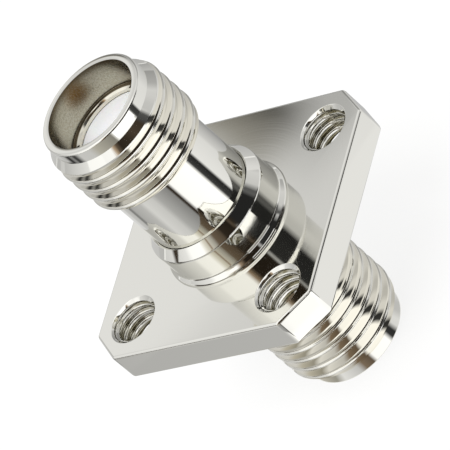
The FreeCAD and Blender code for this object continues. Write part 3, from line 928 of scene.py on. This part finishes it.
class ADAPTER_OT_stage(bpy.types.Operator):
    """Set up the pale floor, the soft light, the panels round the adapter and the camera"""
    bl_idname = "adapter.stage"
    bl_label = "Stage"

    def execute(self, context):
        scene = context.scene
        scene.view_settings.view_transform = "Standard"
        self.add_floor(scene)
        self.add_world(scene)
        self.add_lamp()
        self.add_panels()
        self.add_camera(scene)
        return {"FINISHED"}

    def seen_directly(self, tree):
        """1 for what the camera sees, directly, in metal or through glass."""
        path = add_node(tree, "LightPath")
        either = add_node(tree, "Math", {"operation": "ADD"}, {
            0: path.outputs["Is Camera Ray"], 1: path.outputs["Is Glossy Ray"]})
        return add_node(tree, "Math", {"operation": "ADD", "use_clamp": True}, {
            0: either.outputs[0], 1: path.outputs["Is Transmission Ray"]}).outputs[0]

    def add_floor(self, scene):
        """White paper, which mostly glows where it is seen, and still takes a soft shadow."""
        clear_selection()
        bpy.ops.mesh.primitive_plane_add(size=3.0, location=(0, 0, REAR_RIM))
        floor = bpy.context.object
        floor.name = "floor"
        bpy.ops.object.transform_apply(location=True)
        material, tree = new_material("white_paper")
        paper = add_node(tree, "BsdfDiffuse", inputs={"Color": (*scene.adapter_colours.floor, 1)})
        white = add_node(tree, "Emission", inputs={"Color": (1, 1, 1, 1), "Strength": 1.0})
        share = add_node(tree, "Math", {"operation": "MULTIPLY"}, {
            0: self.seen_directly(tree), 1: 0.8})
        mixed = add_node(tree, "MixShader", inputs={
            "Fac": share.outputs[0], 1: paper.outputs[0], 2: white.outputs[0]})
        add_node(tree, "OutputMaterial", inputs={"Surface": mixed.outputs[0]})
        material.cycles.emission_sampling = "NONE"
        floor.data.materials.append(material)

    def add_world(self, scene):
        """Soft light all round, and pure white where it is seen."""
        world = bpy.data.worlds.new("studio")
        scene.world = world
        world.use_nodes = True
        tree = world.node_tree
        tree.nodes.clear()
        soft = add_node(tree, "Background", inputs={"Color": (1, 1, 1, 1), "Strength": 0.8})
        white = add_node(tree, "Background", inputs={"Color": (1, 1, 1, 1), "Strength": 1.0})
        mixed = add_node(tree, "MixShader", inputs={
            "Fac": self.seen_directly(tree), 1: soft.outputs[0], 2: white.outputs[0]})
        add_node(tree, "OutputWorld", inputs={"Surface": mixed.outputs[0]})

    def add_lamp(self):
        """A large soft lamp over the adapter."""
        clear_selection()
        place = direction(-70, 60) * 0.4
        bpy.ops.object.light_add(type="AREA", location=place)
        lamp = bpy.context.object
        lamp.name = "soft_lamp"
        lamp.rotation_euler = (-place).to_track_quat("-Z", "Y").to_euler()
        lamp.data.shape = "DISK"
        lamp.data.size = 0.25
        lamp.data.energy = 1.2
        lamp.visible_glossy = False

    def add_panels(self):
        """Pale panels and black flags, which show only in the metal."""
        for panel in (self.low_panels(), self.high_panels(), self.white_board()):
            panel.visible_camera = False
            panel.visible_diffuse = False
            panel.visible_transmission = False
            panel.visible_volume_scatter = False
            panel.visible_shadow = False

    def low_panels(self):
        """A disc just over the floor, open where the adapter stands."""
        radius, opening, lift = 250 * MM, 2.9 * MM, 0.02 * MM
        clear_selection()
        bpy.ops.mesh.primitive_circle_add(
            vertices=96, radius=radius, fill_type="NGON", location=(0, 0, REAR_RIM + lift))
        low = bpy.context.object
        low.name = "low_panels"
        bpy.ops.object.transform_apply(location=True)
        bpy.ops.object.mode_set(mode="EDIT")
        bpy.ops.mesh.inset(thickness=radius - opening)
        bpy.ops.mesh.delete(type="FACE")
        bpy.ops.object.mode_set(mode="OBJECT")
        # their azimuths are taken round a point a little towards the camera
        centre = direction(CAMERA_AZIMUTH, 0) * 1.4 * MM
        low.data.materials.append(panel_material("low_panels", TABLE_BANDS, centre, False))
        return low

    def high_panels(self):
        """A shell over the adapter, open below and at its top."""
        radius, lower_edge, upper_edge = 200 * MM, 4 * MM, 190 * MM
        clear_selection()
        bpy.ops.mesh.primitive_uv_sphere_add(segments=96, ring_count=48, radius=radius)
        high = bpy.context.object
        high.name = "high_panels"
        bpy.ops.object.mode_set(mode="EDIT")
        select_parts(high, "faces", lambda corners: all(
            corner.z < lower_edge or corner.z > upper_edge for corner in corners))
        bpy.ops.mesh.delete(type="FACE")
        bpy.ops.object.mode_set(mode="OBJECT")
        high.data.materials.append(panel_material("high_panels", SKY_BANDS, Vector(), True))
        return high

    def white_board(self):
        """A small curved board near the adapter, mirrored in the boss."""
        radius, low, high = 12.5 * MM, 4.8 * MM, 6.4 * MM
        # both operators turn towards negative azimuths here
        begin, end = math.radians(4), math.radians(50)
        board = drawn_outline("white_board", [(radius, low), (radius, high)], closed=False)
        bpy.ops.mesh.select_all(action="SELECT")
        bpy.ops.mesh.spin(steps=24, angle=end - begin, center=(0, 0, 0), axis=(0, 0, 1))
        bpy.ops.mesh.select_all(action="SELECT")
        bpy.ops.transform.rotate(value=begin, orient_axis="Z", center_override=(0, 0, 0))
        bpy.ops.object.mode_set(mode="OBJECT")
        white, tree = new_material("white_board")
        glow = add_node(tree, "Emission", inputs={"Strength": 1.5})
        add_node(tree, "OutputMaterial", inputs={"Surface": glow.outputs[0]})
        white.cycles.emission_sampling = "NONE"
        board.data.materials.append(white)
        return board

    def add_camera(self, scene):
        """The camera at the photo's angle."""
        back = direction(CAMERA_AZIMUTH, CAMERA_ELEVATION)
        turn = (-back).to_track_quat("-Z", "Y").to_matrix().to_4x4()
        clear_selection()
        bpy.ops.object.camera_add()
        camera = bpy.context.object
        camera.matrix_world = (Matrix.Translation(CAMERA_AIM + back * CAMERA_DISTANCE) @ turn
                               @ Matrix.Rotation(math.radians(CAMERA_ROLL), 4, "Z"))
        camera.data.lens = CAMERA_LENS
        camera.data.sensor_width = 36.0
        camera.data.clip_start = 0.01
        scene.camera = camera


OPERATORS = (
    ADAPTER_OT_flange_body,
    ADAPTER_OT_front_barrel,
    ADAPTER_OT_beads,
    ADAPTER_OT_contact,
    ADAPTER_OT_stage,
)


class ADAPTER_PT_panel(bpy.types.Panel):
    """The adapter's sizes, colours and pieces"""
    bl_label = "Adapter"
    bl_idname = "ADAPTER_PT_panel"
    bl_space_type = "VIEW_3D"
    bl_region_type = "UI"
    bl_category = "Adapter"

    def draw(self, context):
        layout = self.layout
        for operator in OPERATORS:
            layout.operator(operator.bl_idname)
        for group in (context.scene.adapter_sizes, context.scene.adapter_colours):
            box = layout.box()
            for name in group.__annotations__:
                box.prop(group, name)


CLASSES = (AdapterSizes, AdapterColours) + OPERATORS + (ADAPTER_PT_panel,)


def register():
    for item in CLASSES:
        bpy.utils.register_class(item)
    bpy.types.Scene.adapter_sizes = bpy.props.PointerProperty(type=AdapterSizes)
    bpy.types.Scene.adapter_colours = bpy.props.PointerProperty(type=AdapterColours)


def unregister():
    del bpy.types.Scene.adapter_colours
    del bpy.types.Scene.adapter_sizes
    for item in reversed(CLASSES):
        bpy.utils.unregister_class(item)


def main():
    register()
    bpy.ops.adapter.flange_body()
    bpy.ops.adapter.front_barrel()
    bpy.ops.adapter.beads()
    bpy.ops.adapter.contact()
    bpy.ops.adapter.stage()


if __name__ == "__main__":
    main()
